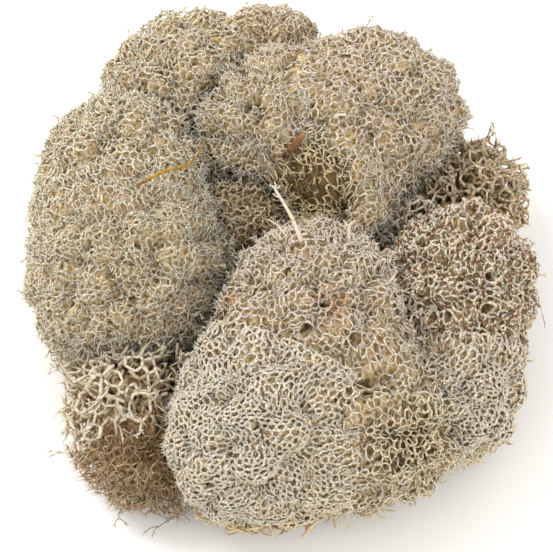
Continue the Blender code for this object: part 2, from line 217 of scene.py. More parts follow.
# Orange stains: the middle and the size of each
STAINS = {
    "head_front_crown": (((12.5, -27.0, 44.5), 3.4), ((-9.5, -22.5, 36.0), 2.2)),
    "thicket_left": (((-20.0, -42.0, 20.0), 4.0),),
    "brown_tuft": (((-18.0, -48.0, 18.0), 3.0),),
    "head_back_centre": (((3.0, 14.5, 41.0), 2.2),),
}
# Twigs of the browned head that are this young and this dark have rust on them
RUST_AGE = 0.03
RUST_SHADE = 0.7
# Places painted darker, and where the amount is below zero lighter, by age added to their colour: the middle,
# the size, and how much. The first is painted shade, darkening the small grey head where a deep hollow lies.
# The second darkens the front of the front right head, partly as painted shade and partly as older strands.
SHADE_AND_TONE_PLACES = (
    ((7.5, 8.5, 35.0), 7.5, 1.00),
    ((28.0, -50.0, 26.0), 11.0, 0.22),
    ((0.0, 52.0, 38.0), 13.0, 0.12),
    ((-9.0, 8.0, 30.0), 8.0, -0.15),
    ((8.0, -22.0, 47.0), 12.0, -0.10),
)

# The mat and what lies on the heads, as the solids have them
MAT_MIDDLE = 4.0
MAT_POINTS = 6000
MAT_REACH = 50.0
MAT_ROUGH = 0.03
FOOT_RADIUS = 21.0
OLD_STEMS = 520
OLD_STEM_RADII = (0.25, 0.75)
OLD_STEM_LENGTHS = (5.0, 13.0)
# Route of the dry stalk, and its parts: first and last point, radii and ages at both ends
STALK_ROUTE = (
    (-28.4, -0.6, 48.0), (-25.6, 2.0, 47.2), (-22.8, 5.0, 45.6), (-20.6, 7.4, 43.6), (-18.6, 9.6, 41.9),
    (-16.4, 13.6, 40.4), (-14.9, 18.0, 39.8),
)
STALK_PARTS = (
    (0, 2, (0.42, 0.34), (0.9, 0.1)),
    (1, 4, (0.34, 0.30), (0.0, 0.0)),
    (3, 7, (0.30, 0.20), (0.0, 0.55)),
)
# Stubs of side stalks: the point of the route that each follows, and its direction
STALK_STUBS = ((1, (0.4, -0.5, 0.9)), (3, (-0.6, 0.3, 0.8)), (4, (0.5, 0.4, 0.6)))
FLAKE_ENDS = ((2.0, 14.0, 38.4), (6.6, 18.2, 42.0))
FLAKE_WIDTH = 2.0
FLAKE_THICKNESS = 0.4
FLAKE_BOW = 0.5
FLAKE_GRID = (40, 16)

# How pink the tips of each finish are, and how far from a border between two heads this blends
WARMTH = {"cream": 0.35, "pinkish": 1.0, "greenish": 0.0, "russet": 0.9, "old": 0.8, "deep": 0.5}
WARMTH_SPREAD = 5.0

# Finish: tip, pink tip, fork, depth and stain colours, and the scale of its uneven patches. The fork and
# depth colours are partly painted shade where the deeper nets and the cores take them.
FINISHES = {
    "fresh": (
        (0.61, 0.55, 0.44), (0.63, 0.535, 0.45), (0.6, 0.485, 0.32), (0.42, 0.29, 0.12),
        (0.5, 0.25, 0.11), 60.0,
    ),
    "russet": (
        (0.6, 0.53, 0.42), (0.61, 0.53, 0.44), (0.58, 0.455, 0.29), (0.36, 0.235, 0.09),
        (0.19, 0.06, 0.015), 90.0,
    ),
    "old": (
        (0.37, 0.28, 0.18), (0.37, 0.27, 0.18), (0.28, 0.185, 0.09), (0.15, 0.088, 0.035),
        (0.5, 0.16, 0.04), 90.0,
    ),
    "deep": (
        (0.5, 0.42, 0.29), (0.52, 0.42, 0.31), (0.4, 0.29, 0.15), (0.19, 0.12, 0.05),
        (0.5, 0.16, 0.04), 90.0,
    ),
    "dead": (
        (0.26, 0.18, 0.11), (0.27, 0.17, 0.11), (0.17, 0.11, 0.06), (0.08, 0.05, 0.028),
        (0.5, 0.16, 0.04), 90.0,
    ),
    "amber": (
        (0.4, 0.24, 0.03), (0.4, 0.24, 0.03), (0.27, 0.15, 0.04), (0.14, 0.07, 0.03),
        (0.5, 0.16, 0.04), 400.0,
    ),
    "bark": (
        (0.36, 0.2, 0.09), (0.36, 0.2, 0.09), (0.2, 0.1, 0.045), (0.08, 0.04, 0.02),
        (0.5, 0.16, 0.04), 500.0,
    ),
}
SLOTS = {finish: f"moss_{finish}" for finish in ("cream", "pinkish", "greenish", "russet", "old")}
SLOTS["deep"] = "moss_old"
PIT_SHARE = 0.32  # of the depth colour, in the darkest pits: painted shade

# Ages at which each colour begins and is full
FORK_AGES = (0.17, 0.52)
DEPTH_AGES = (0.5, 1.05)
NETTED_AGES = (0.62, 0.74)
SHADOW_AGES = (0.88, 1.0)
PATCH_AGE = 0.24  # how much the uneven patches add to the age
FACING_SHADE = (0.26, -0.08)  # painted shade and light: added to the age where a twig faces down, and up, so sides facing down are darker and golden and tops paler
# The fine net painted on the old middles: its scale, and where its walls end and its pits are full. Its dark
# pits are painted shade of the gaps between the old stems.
PAINTED_SCALE = 720.0
PAINTED_WALLS = (0.04, 0.20)
PAINTED_PITS = (0.22, 0.50)
PAINTED_RELIEF = -2.5
TWIG_SHADES = (0.80, 1.16)
GRAIN_SCALE = 3500.0
BUMP_STRENGTH = 0.5
BUMP_HEIGHT = 0.15
ROUGHNESS = 0.85
SPECULAR = 0.2
SCATTER_SHARE = 0.5
SCATTER_TINT = (1.0, 0.62, 0.30)
SCATTER_DEPTH = 0.7  # that red light goes into a twig

# The photograph's view
ELEVATION = math.radians(55.0)
DISTANCE = 420.0
TARGET = Vector((0.5, -5.5, 22.0))
PIXELS_PER_MM = 4.6
PICTURE_WIDTH = 553.0
SENSOR = 36.0

# The studio, in metres: the lights' places, sizes and watts
SKY = (1.0, 0.975, 0.935, 1.0)
SKY_STRENGTH = 1.1
FLOOR_HALF = 1.5
FLOOR_PAPER = (0.86, 0.86, 0.85, 1.0)
FLOOR_ROUGHNESS = 0.9
LIGHTS = (("key", (-0.42, 0.20, 0.48), 0.30, 3.1), ("fill", (0.35, -0.45, 0.40), 0.5, 2.0))
LIT_PLACE = Vector((0.0, 0.0, 0.02))


def unit(vectors):
    """Each row divided by its length."""
    return vectors / np.maximum(np.linalg.norm(vectors, axis=-1, keepdims=True), 1e-9)


def spiral(count, turn):
    """Directions spread evenly over a sphere: equal steps of height, each a golden angle further round."""
    index = np.arange(count)
    height = 1.0 - (2.0 * index + 1.0) / count
    width = np.sqrt(1.0 - height**2)
    angle = math.pi * (3.0 - math.sqrt(5.0)) * index + turn
    return np.stack([width * np.cos(angle), width * np.sin(angle), height], axis=1)


def lump(way, phase):
    """The broad bulges of a head: products of sines of the direction, from -1 to 1, as on the solids."""
    across = np.sin(3.1 * way[:, 0] + phase) * np.cos(2.7 * way[:, 1] - phase)
    along = np.sin(4.3 * way[:, 2] + 2.0 * phase + 2.2 * way[:, 0])
    return 0.6 * across + 0.4 * along


def nearest(points, others, chunk=600):
    """For each point the number of the nearest other, by squared distances taken a chunk at a time."""
    found = np.empty(len(points), dtype=np.int64)
    squares = (others**2).sum(axis=1)
    for start in range(0, len(points), chunk):
        part = points[start : start + chunk]
        found[start : start + chunk] = (squares - 2.0 * part @ others.T).argmin(axis=1)
    return found


def phase_of(name):
    """The turn of a head's bulge pattern, drawn from its name as on the solids."""
    return random.Random(f"{SEED} {name}").uniform(0.0, 2.0 * math.pi)


def smooth_least(first, second, width):
    """The lesser of two levels, less a quarter of the width times the square of how close they are."""
    close = np.maximum(width - np.abs(first - second), 0.0) / width
    return np.minimum(first, second) - close**2 * width / 4.0


class Room:
    """A head's room: under the surface of its swell, and short of the borders shared with its neighbours."""

    def __init__(self, name):
        centre, self.radius, swell, self.growth, self.finish = HEADS[name]
        kind = GROWTH[self.growth]
        self.name = name
        self.centre = np.array(centre)
        self.rng = np.random.default_rng(sum(ord(letter) for letter in name))
        self.swell = [(np.array(entry[0]), entry[1], phase_of(other)) for other, entry in HEADS.items()
                      if entry[2] == swell]
        normals = [(0.0, 0.0, -1.0)]
        limits = [self.centre[2] - GROUND_CLEARANCE]
        kin = [False]
        balls = [(entry[0], entry[1], entry[2] == swell) for other, entry in HEADS.items() if other != name]
        balls.append(((0.0, 0.0, MAT_TOP - MAT_BALL_RADIUS), MAT_BALL_RADIUS, False))
        for other_centre, other_radius, same_swell in balls:
            towards = np.array(other_centre) - self.centre
            apart = np.linalg.norm(towards)
            normals.append(towards / apart)
            border = (apart**2 + self.radius**2 - other_radius**2) / (2.0 * apart)
            limits.append(border + (KIN_OVERLAP if same_swell else OVERLAP))
            kin.append(same_swell)
        self.normals = np.array(normals)
        self.limits = np.array(limits)
        self.kin = np.array(kin)
        self.knobs = spiral(int(4.0 * math.pi * self.radius**2 / KNOB_AREA), phase_of(name) + 2.0)
        self.knob_heights = 0.7 + 0.3 * np.sin(5.0 * np.arange(len(self.knobs)) + self.radius)
        self.tufts = self.scattered(TUFT_SPACING, JITTER)
        self.tuft_heights = self.rng.uniform(-TUFT_UNEVEN, TUFT_UNEVEN, len(self.tufts))
        self.tuft_height = kind["tuft"]
        area, small, large = kind["funnels"]
        self.funnels = self.scattered(math.sqrt(area), JITTER)
        self.funnel_sizes = small + (large - small) * self.rng.random(len(self.funnels)) ** 1.5
        rows = unit(self.rng.normal(0.0, 1.0, (3, 3)))
        self.warp = rows.T * 2.0 * math.pi * self.radius / WARP_LENGTH

    def scattered(self, spacing, jitter):
        """Directions a spacing apart on the head, each moved at random by a share of the spacing."""
        count = max(3, int(4.0 * math.pi * self.radius**2 / spacing**2))
        way = spiral(count, self.rng.uniform(0.0, 2.0 * math.pi))
        return unit(way + self.rng.normal(0.0, jitter * spacing / self.radius, way.shape))

    def reach(self, way, kin):
        """The distance to the first border with kin heads, or with others: a border's limit over slope."""
        none = NO_BORDER * self.radius
        slope = way @ self.normals[self.kin == kin].T
        if not slope.shape[1]:
            return np.full(len(way), none)
        steep = np.maximum(slope, 1e-6)
        return np.where(slope > 1e-6, self.limits[self.kin == kin] / steep, none).min(axis=1)

    def level(self, points):
        """Below zero inside the swell: lumpy balls, run together by smooth_least."""
        level = np.full(len(points), 1e6)
        for centre, radius, phase in self.swell:
            offset = points - centre
            ball = np.linalg.norm(offset, axis=1) - radius * (1.0 + LUMP * lump(unit(offset), phase))
            level = smooth_least(level, ball, SWELL)
        return level

    def across(self, way, centres):
        """The nearest centre's number for each direction, and the distance to it along the head's surface."""
        found = nearest(way, centres)
        closeness = np.clip((way * centres[found]).sum(axis=1), -1.0, 1.0)
        return found, np.arccos(closeness) * self.radius

    def surface(self, way, depth):
        """The distance to a depth below the head's surface along each direction, whether it can be seen, and
        how near it is to another swell, from 0 to 1.

        A march inwards finds the swell's zero level. Knobs and small tufts, each a parabola of the distance
        to its middle, stand on it, and the larger round holes are half-ellipsoids sunk in it. It dips
        towards other swells and runs on flat into its own.
        """
        ball = np.full(len(way), MARCH_START * self.radius)
        for _ in range(MARCH_STEPS):
            ball -= self.level(self.centre + way * ball[:, None])
        knob, away = self.across(way, self.knobs)
        ball += KNOB * (self.knob_heights[knob] * np.maximum(1.0 - (away / KNOB_WIDTH) ** 2, 0.0) - 0.5)
        ball -= CREASE * np.minimum(away / KNOB_WIDTH, 1.0) ** 4
        tuft, away = self.across(way, self.tufts)
        ball += self.tuft_height * (self.tuft_heights[tuft] + 0.3 - (away / TUFT_SPACING) ** 2 * 2.0)
        pit, away = self.across(way, self.funnels)
        sizes = self.funnel_sizes[pit]
        ball -= PIT_DEPTH * sizes * np.maximum(1.0 - (away / sizes) ** 2, 0.0) ** 0.5
        border = self.reach(way, False)
        beside = self.reach(way, True)
        rounded = smooth_least(ball, border, BORDER_ROUNDING * self.radius) - depth
        seen = (way[:, 2] > LOWEST) & (ball - border < SEEN_BEHIND) & (rounded - beside < SEEN_BESIDE)
        edge = np.clip(1.0 - (border - ball) / EDGE_WIDTH, 0.0, 1.0)
        return np.maximum(np.minimum(rounded, beside), LEAST_REACH * self.radius), seen, edge

    def drawn(self, way):
        """Directions drawn together and apart by sines of themselves."""
        return unit(way + WARP / self.radius * np.sin(way @ self.warp))


def tube_faces(rows, sides, pointed):
    """The triangles of one closed tube: bands of two triangles a side, and a fan or an apex at each end."""
    faces = []
    for row in range(rows - 1):
        for side in range(sides):
            after = (side + 1) % sides
            low, high = row * sides, (row + 1) * sides
            faces += [(low + side, low + after, high + after), (low + side, high + after, high + side)]
    for side in range(1, sides - 1):
        faces.append((0, side + 1, side))
    last = (rows - 1) * sides
    if pointed:
        faces += [(last + side, last + (side + 1) % sides, rows * sides) for side in range(sides)]
    else:
        faces += [(last, last + side, last + side + 1) for side in range(1, sides - 1)]
    return np.array(faces)


def tubes(start, end, leave, arrive, radii, ages, shade, rng, sides=3, steps=1, wobble=0.0, pointed=False):
    """Closed tubes along cubic curves, all at once.

    A curve runs from start to end and sets out along leave and comes in along arrive, as a Hermite
    curve with both slopes scaled to its length. Each of its rings has the same number of sides, and
    its radius and age go evenly from the first value to the last. A pointed tube ends in one apex.
    """
    count = len(start)
    length = np.linalg.norm(end - start, axis=1, keepdims=True)
    rows = steps if pointed else steps + 1
    shares = np.arange(steps + 1) / steps
    points = []
    slopes = []
    for share in shares:
        square, cube = share**2, share**3
        place = (2 * cube - 3 * square + 1) * start + (3 * square - 2 * cube) * end
        place = place + ((cube - 2 * square + share) * leave + (cube - square) * arrive) * length
        slope = (6 * square - 6 * share) * (start - end) / np.maximum(length, 1e-6)
        slope = slope + (3 * square - 4 * share + 1) * leave + (3 * square - 2 * share) * arrive
        if 0.0 < share < 1.0:
            place = place + rng.normal(0.0, wobble, place.shape) * length
        points.append(place)
        slopes.append(unit(slope))
    helper = unit(rng.normal(size=(count, 3)))
    vertices = np.empty((count, rows * sides + pointed, 3))
    age = np.empty((count, rows * sides + pointed))
    angles = 2.0 * math.pi * np.arange(sides) / sides
    cosines, sines = np.cos(angles)[None, :, None], np.sin(angles)[None, :, None]
    for row in range(rows):
        first = unit(helper - slopes[row] * (helper * slopes[row]).sum(axis=1, keepdims=True))
        second = np.cross(slopes[row], first)
        share = shares[row]
        radius = (radii[0] * (1.0 - share) + radii[1] * share)[:, None, None]
        ring = first[:, None, :] * cosines + second[:, None, :] * sines
        band = slice(row * sides, (row + 1) * sides)
        vertices[:, band] = points[row][:, None, :] + ring * radius
        age[:, band] = (ages[0] * (1.0 - share) + ages[1] * share)[:, None]
    if pointed:
        vertices[:, -1] = points[-1]
        age[:, -1] = ages[1]
    each = vertices.shape[1]
    numbers = tube_faces(rows, sides, pointed)[None] + (np.arange(count) * each)[:, None, None]
    return vertices.reshape(-1, 3), numbers.reshape(-1, 3), age.ravel(), np.repeat(shade, each)


def warmth(places):
    """How pink the lichen is at each place: the heads' own values, weighed by how near each head is."""
    total = np.zeros(len(places))
    share = np.zeros(len(places))
    for centre, radius, _, _, finish in HEADS.values():
        away = np.maximum(np.linalg.norm(places - np.array(centre), axis=1) - radius, -radius)
        near = np.exp(-away / WARMTH_SPREAD)
        total += near
        share += near * WARMTH[finish]
    return share / np.maximum(total, 1e-12)


def shade_and_tone(places):
    """How much age each place is given, darker where it is above zero and lighter below: bells round the
    listed places, the first of them painted shade.
    """
    total = np.zeros(len(places))
    for middle, size, amount in SHADE_AND_TONE_PLACES:
        total += amount * np.exp(-(((places - np.array(middle)) / size) ** 2).sum(axis=1))
    return total


def kept_inside(places):
    """Places inside the solids' box: past a margin short of a side or the top, the excess goes as a tanh."""
    low, high = np.array(cad_box) / MM
    middle, half = (low + high) / 2.0, (high - low) / 2.0
    offset = places - middle
    over = np.maximum(np.abs(offset) - (half - BOX_MARGIN), 0.0)
    drawn = offset - np.sign(offset) * (over - BOX_MARGIN * np.tanh(over / BOX_MARGIN))
    drawn[:, 2] = np.where(offset[:, 2] < 0.0, offset[:, 2], drawn[:, 2])
    inside = middle + drawn
    inside[:, 2] = np.maximum(inside[:, 2], low[2])
    return inside


class Growth:
    """Collects closed shells of one piece, and makes them a mesh with ages, shades, stains and warmth."""

    def __init__(self):
        self.vertices, self.faces, self.ages, self.shades = [], [], [], []
        self.total = 0

    def add(self, vertices, faces, ages, shades):
        self.vertices.append(vertices)
        self.faces.append(faces + self.total)
        self.ages.append(ages)
        self.shades.append(shades)
        self.total += len(vertices)

    def piece(self, name, stain=None):
        """The mesh object: its growth attribute holds age, which also carries painted shade, then shade,
        stain and warmth in its four channels.
        """
        places = kept_inside(np.concatenate(self.vertices))
        faces = np.concatenate(self.faces)
        # Painted shade, and lighter and darker tone, of the listed places added to the ages
        ages = np.clip(np.concatenate(self.ages) + shade_and_tone(places), 0.0, 1.0)
        shades = np.concatenate(self.shades)
        stains = stain(places, ages, shades) if stain else np.zeros(len(places))
        mesh = bpy.data.meshes.new(name)
        mesh.vertices.add(len(places))
        mesh.vertices.foreach_set("co", (places * MM).astype(np.float32).ravel())
        mesh.loops.add(3 * len(faces))
        mesh.loops.foreach_set("vertex_index", faces.astype(np.int32).ravel())
        mesh.polygons.add(len(faces))
        mesh.polygons.foreach_set("loop_start", (3 * np.arange(len(faces))).astype(np.int32))
        mesh.update(calc_edges=True)
        mesh.shade_smooth()
        colours = np.stack([ages, shades, stains, warmth(places)], axis=1).astype(np.float32)
        mesh.attributes.new("growth", "FLOAT_COLOR", "POINT").data.foreach_set("color", colours.ravel())
        made = bpy.data.objects.new(name, mesh)
        bpy.context.scene.collection.objects.link(made)
        return made


def hull_faces(way):
    """The triangles of the hull of unit directions, which face outwards."""
    mesh = bmesh.new()
    for direction in way:
        mesh.verts.new(direction)
    bmesh.ops.convex_hull(mesh, input=mesh.verts)
    mesh.verts.index_update()
    faces = np.array([[vert.index for vert in face.verts] for face in mesh.faces if len(face.verts) == 3])
    mesh.free()
    return faces


def cells_of(way):
    """A net round even directions: its forks are the hull's triangles, and its links join neighbours."""
    faces = hull_faces(way)
    forks = unit(way[faces].mean(axis=1))
    edges = np.sort(np.concatenate([faces[:, (0, 1)], faces[:, (1, 2)], faces[:, (2, 0)]]), axis=1)
    owner = np.tile(np.arange(len(faces)), 3)
    key = edges[:, 0] * len(way) + edges[:, 1]
    order = np.argsort(key, kind="stable")
    same = np.flatnonzero(key[order][1:] == key[order][:-1])
    return forks, np.stack([owner[order][same], owner[order][same + 1]], axis=1)


def net(room, spacing, depth, relief, gone, funnel):
    """One net a depth below a head's surface: its forks, their directions, its links, the forks seen, and
    how near each fork is to the head's edge.

    Forks inside a larger round hole are pushed out to its rim, and links across it are left out. The holes
    are as large as the funnel share of those of the outer net.
    """
    rng = room.rng
    way, links = cells_of(room.scattered(spacing, NET_JITTER))
    way = room.drawn(way)
    near, away = room.across(way, room.funnels)
    size = funnel * room.funnel_sizes[near]
    pushed = size * (RIM + (1.0 - RIM) * away / np.maximum(size, 1e-6)) / np.maximum(away, 1e-6)
    moved = room.funnels[near] + (way - room.funnels[near]) * pushed[:, None]
    way = unit(np.where((away < size)[:, None], moved, way))
    distance, seen, edge = room.surface(way, depth + np.abs(rng.normal(0.0, relief, len(way))))
    places = room.centre + way * distance[:, None]
    near, away = room.across(unit(way[links].sum(axis=1)), room.funnels)
    kept = seen[links].all(axis=1)
    kept &= rng.random(len(links)) > gone + EDGE_GONE * edge[links[:, 0]]
    kept &= away > OPEN_SHARE * funnel * room.funnel_sizes[near]
    kept &= np.linalg.norm(places[links[:, 0]] - places[links[:, 1]], axis=1) < LONGEST_LINK * spacing
    return places, way, links[kept], np.flatnonzero(seen), edge


def age_below(way):
    """Older twigs on the underside: half the downward part of the direction."""
    return np.clip(-way[:, 2] - 0.1, 0.0, 1.0) * 0.5


def weave(room, growth, places, way, links, radius, age, steps):
    """Twigs along a net's links, each bowed a little outwards or inwards."""
    start, end = places[links[:, 0]], places[links[:, 1]]
    across = unit(end - start)
    bow = way[links[:, 0]] * room.rng.normal(0.0, LINK_BOW, len(links))[:, None]
    size = radius * room.rng.uniform(0.75, 1.25, len(links))
    ages = age + age_below(way[links[:, 0]])
    shade = room.rng.random(len(links))
    sides, wobble = (3, 0.0) if steps == 1 else (4, 0.04)
    growth.add(*tubes(start, end, unit(across + bow), unit(across - bow), (size, size * 0.9), (ages, ages),
                      shade, room.rng, sides, steps, wobble))


def struts(room, growth, upper, upper_way, lower, radius, ages):
    """Twigs from forks of the lower net up to a share of the upper net's forks."""
    chosen = np.flatnonzero(room.rng.random(len(upper)) < STRUT_SHARE)
    start, end = lower[nearest(upper[chosen], lower)], upper[chosen]
    along = unit(end - start)
    size = radius * room.rng.uniform(0.8, 1.2, len(chosen))
    below = age_below(upper_way[chosen])
    growth.add(*tubes(start, end, along, unit(along + upper_way[chosen]), (size * 1.2, size * 0.85),
                      (ages[0] + below, ages[1] + below), room.rng.random(len(chosen)), room.rng))


def tips(room, growth, places, way, edge, radius, number, length, blunt):
    """Short tips out of the outer net's forks, leaning at random, so many to a fork, longer at the edge."""
    rng = room.rng
    chosen = rng.integers(0, len(places), int(number * len(places)))
    lean = unit(way[chosen] + rng.normal(0.0, TIP_LEAN, (len(chosen), 3)))
    reach = length * rng.uniform(0.4, 1.3, len(chosen)) * (1.0 + EDGE_TIPS * edge[chosen])
    start = places[chosen] - lean * radius * 0.5
    end = start + lean * reach[:, None]
    bend = unit(lean + rng.normal(0.0, TIP_BEND, lean.shape))
    size = radius * rng.uniform(0.6, 0.95, len(chosen))
    below = age_below(way[chosen])
    ends = size, size * (BUTTON if blunt else TIP_POINT)
    ages = NET_AGES_AND_SHADE[0] + below, below
    growth.add(*tubes(start, end, lean, bend, ends, ages, rng.random(len(chosen)), rng, pointed=not blunt))


def sprays(room, growth, places, way, edge, radius, number, length):
    """Loose forked twigs over the net: each leans over it, forks in two, and each branch forks in three tips.

    Three times as many grow at the head's edge as on its top.
    """
    rng = room.rng
    weight = 0.5 + edge
    chosen = rng.choice(len(places), number, p=weight / weight.sum())
    out = way[chosen]
    lean = unit(np.cross(out, rng.normal(size=out.shape)) + out * rng.uniform(0.15, 0.9, number)[:, None])
    reach = length * rng.uniform(0.35, 0.75, number)
    start = places[chosen]
    shade = rng.random(number)
    size = radius * rng.uniform(0.9, 1.3, number)
    below = age_below(out)
    for order, (count, spread, ages) in enumerate(SPRAY_ORDERS):
        start, lean, out = (np.repeat(values, count, axis=0) for values in (start, lean, out))
        reach, shade, size, below = (np.repeat(values, count) for values in (reach, shade, size, below))
        lean = unit(lean + rng.normal(0.0, spread, lean.shape) + 0.25 * order * out)
        reach = reach * rng.uniform(0.45, 0.75, len(reach)) if order else reach
        end = start + lean * reach[:, None]
        arrive = unit(lean + rng.normal(0.0, 0.35, lean.shape))
        thin = size * SPRAY_TAPER
        growth.add(*tubes(start, end, lean, arrive, (size, thin), (ages[0] + below, ages[1] + below),
                          shade, rng, 3, 2, 0.05, order == len(SPRAY_ORDERS) - 1))
        start, lean, size = end, arrive, thin


def rims(room, growth, radius):
    """Smooth uneven rims of the larger round holes: loops of short tubes on the head's surface."""
    upright = room.funnels[:, 2] > 0.0
    middles, sizes = room.funnels[upright], room.funnel_sizes[upright] / room.radius
    side = unit(np.cross(middles, room.rng.normal(size=middles.shape)))
    other = np.cross(middles, side)
    angles = 2.0 * math.pi * np.arange(RIM_CORNERS + 1) / RIM_CORNERS
    cosines, sines = np.cos(angles)[None, :, None], np.sin(angles)[None, :, None]
    turned = side[:, None] * cosines + other[:, None] * sines
    uneven = 0.9 + 0.12 * np.sin(2.0 * angles[None] + 6.0 * sizes[:, None] * room.radius)
    uneven += 0.06 * np.sin(5.0 * angles[None] + 9.0 * sizes[:, None] * room.radius)
    way = unit(middles[:, None] + turned * (uneven * sizes[:, None])[:, :, None])
    distance, seen, _ = room.surface(way.reshape(-1, 3), 0.1)
    places = (room.centre + way.reshape(-1, 3) * distance[:, None]).reshape(way.shape)
    whole = seen.reshape(way.shape[:2]).all(axis=1)
    start, end = places[whole, :-1].reshape(-1, 3), places[whole, 1:].reshape(-1, 3)
    along = unit(end - start)
    size = radius * room.rng.uniform(0.8, 1.2, len(start))
    ages = np.full(len(start), 0.2)
    shade = np.full(len(start), 0.5)
    growth.add(*tubes(start, end, along, along, (size, size), (ages, ages), shade, room.rng, 4))


def old_stems(room, growth, depth, radius):
    """Sparse old twigs under a head, where the nets end: they hug its dense middle and turn down and out."""
    rng = room.rng
    way = room.scattered(OLD_STEM_SPACING, JITTER)
    way = way[(way[:, 2] > LOWEST_OLD) & (way[:, 2] < LOWEST + OLD_ABOVE)]
    distance, _, _ = room.surface(way, depth)
    behind = room.reach(way, False) - distance
    way, distance = way[behind > 0.5], distance[behind > 0.5]
    start = room.centre + way * distance[:, None]
    side = unit(np.cross(way, rng.normal(size=way.shape)))
    lean = unit(side + way * rng.uniform(0.1, 0.7, len(way))[:, None])
    end = start + lean * rng.uniform(2.0, 6.0, len(way))[:, None]
    end[:, 2] = np.maximum(end[:, 2], GROUND_CLEARANCE)
    size = radius * rng.uniform(0.8, 1.6, len(way))
    ages = rng.uniform(0.4, 0.7, len(way)), rng.uniform(0.3, 0.55, len(way))
    growth.add(*tubes(start, end, unit(lean + 0.5 * way), unit(lean - 0.6 * way), (size, size * 0.5), ages,
                      rng.random(len(way)), rng, 3, 3, 0.05, True))


def core(room, growth, depth):
    """The old dense middle of a head: its outer surface drawn in, roughened at random. Its brown is partly
    its own and partly painted shade of the depths behind the twigs, and it is darker still, as painted shade,
    under the larger holes.
    """
    way = spiral(int(CORE_POINTS * room.radius**2), room.rng.uniform(0.0, 2.0 * math.pi))
    distance = room.surface(way, depth + np.abs(room.rng.normal(0.0, CORE_ROUGH, len(way))))[0]
    pit, away = room.across(way, room.funnels)
    ages = CORE_AGES_AND_SHADE.get(room.growth, CORE_AGE_AND_SHADE) + room.rng.normal(0.0, 0.03, len(way)) + age_below(way)
    # Painted shade: the core under a larger hole is given more age, and so is darker
    ages += HOLE_SHADE_AGE * (away < room.funnel_sizes[pit])
    growth.add(room.centre + way * distance[:, None], hull_faces(way), ages, room.rng.random(len(way)))


def strand(growth, points, radii, ages, rng):
    """A single twig through points: curves between them whose slopes follow the points on both sides."""
    points = np.array(points)
    slopes = unit(np.gradient(points, axis=0))
    sizes = np.linspace(radii[0], radii[1], len(points))
    along = np.linspace(ages[0], ages[1], len(points))
    shade = np.full(len(points) - 1, STRAND_SHADE)
    growth.add(*tubes(points[:-1], points[1:], slopes[:-1], slopes[1:], (sizes[:-1], sizes[1:]),
                      (along[:-1], along[1:]), shade, rng, 6, 4))


def grow_head(room):
    """A head: a fine outer net with tips, coarser nets under it, twigs between them, and the core."""
    kind = GROWTH[room.growth]
    hole, wire = kind["hole"], kind["wire"]
    steps = 2 if room.growth == "coarse" else 1
    growth = Growth()
    upper = None
    for number, (wider, depth) in enumerate(kind["nets"]):
        places, way, links, seen, edge = net(room, wider * hole, depth * hole, kind["relief"], kind["gone"],
                                             NET_FUNNELS[number])
        weave(room, growth, places, way, links, wire * NET_WIDTHS[number], NET_AGES_AND_SHADE[number], steps)
        if number == 0:
            outer = places[seen], way[seen], edge[seen]
            tips(room, growth, *outer, wire, *kind["tips"], room.finish == "russet")
            dense, length = kind["sprays"]
            count = int(dense * len(seen) * hole**2 / SPRAY_AREA)
            sprays(room, growth, *outer, wire * 0.9, count, length)
        else:
            struts(room, growth, *upper, places[seen], wire, (NET_AGES_AND_SHADE[number], NET_AGES_AND_SHADE[number - 1]))
        upper = places[seen], way[seen]
    if room.growth in RIMMED:
        rims(room, growth, wire)
    old_stems(room, growth, kind["core"], wire)
    core(room, growth, kind["core"])
    for points, radii in FEATURE_TWIGS.get(room.name, ()):
        strand(growth, points, radii, STRAND_AGES, room.rng)
    return growth


def stains_of(name):
    """The stain of a head's vertices: orange round set places, and rust on the tips of the browned head."""
    spots = STAINS.get(name, ())

    def stain(places, ages, shades):
        amount = np.zeros(len(places))
        for middle, size in spots:
            distance = np.linalg.norm(places - np.array(middle), axis=1)
            amount = np.maximum(amount, np.clip(1.6 * shades, 0.0, 1.0) * np.exp(-((distance / size) ** 2)))
        if HEADS[name][4] == "russet":
            amount = np.where((ages < RUST_AGE) & (shades < RUST_SHADE), 1.0, amount)
        return amount

    return stain


